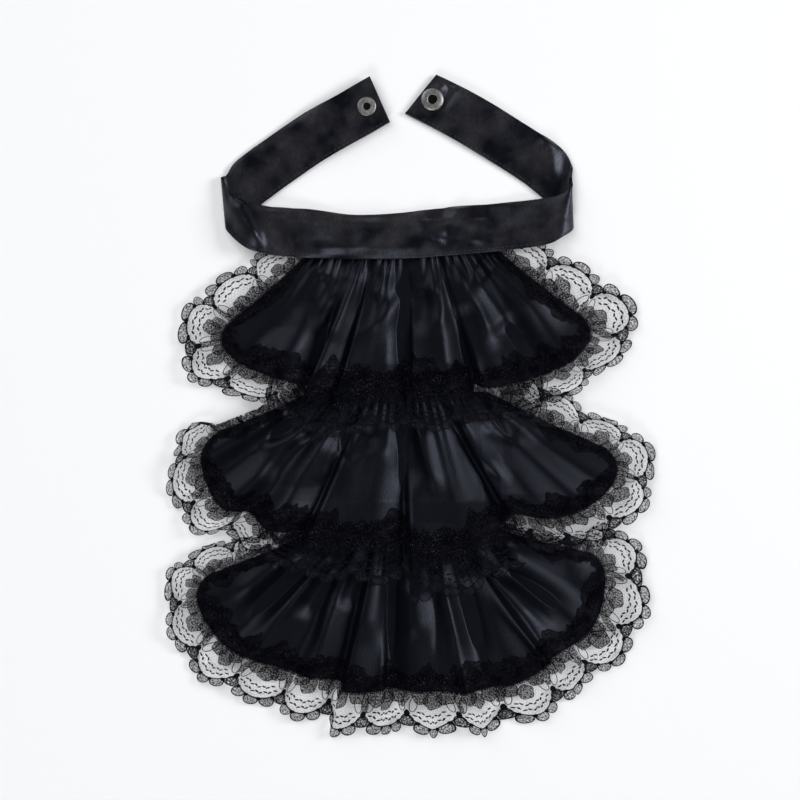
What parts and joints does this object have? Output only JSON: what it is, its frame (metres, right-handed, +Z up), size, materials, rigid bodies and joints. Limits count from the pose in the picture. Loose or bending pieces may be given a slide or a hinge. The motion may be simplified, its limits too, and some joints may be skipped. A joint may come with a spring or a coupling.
{
  "type": "jabot",
  "caption": "Black satin jabot: a snap-fastened neck band carrying tiered gathered ruffles edged with scalloped lace, laid flat with its band open at the back.",
  "frame": {"origin": "middle of the base of the whole object, on the surface that it lies on", "axes": "+Z up from the surface, +Y from the ruffles to the strap ends, +X to the right as seen from above"},
  "size_m": [0.2722, 0.3658, 0.0177],
  "materials": {
    "satin_black": "black satin with a soft bluish sheen",
    "lace_black": "matt black net lace with corded motifs",
    "snap_metal": "dull nickel, slightly worn"
  },
  "bodies": {
    "root": {"neck_band": "satin_black", "snap_socket": "snap_metal", "snap_stud": "snap_metal", "carrier_panel": "satin_black", "ruffle_top": "satin_black", "ruffle_middle": "satin_black", "ruffle_bottom": "satin_black", "lace_top": "lace_black", "lace_middle": "lace_black", "lace_bottom": "lace_black"}
  },
  "joints": []
}
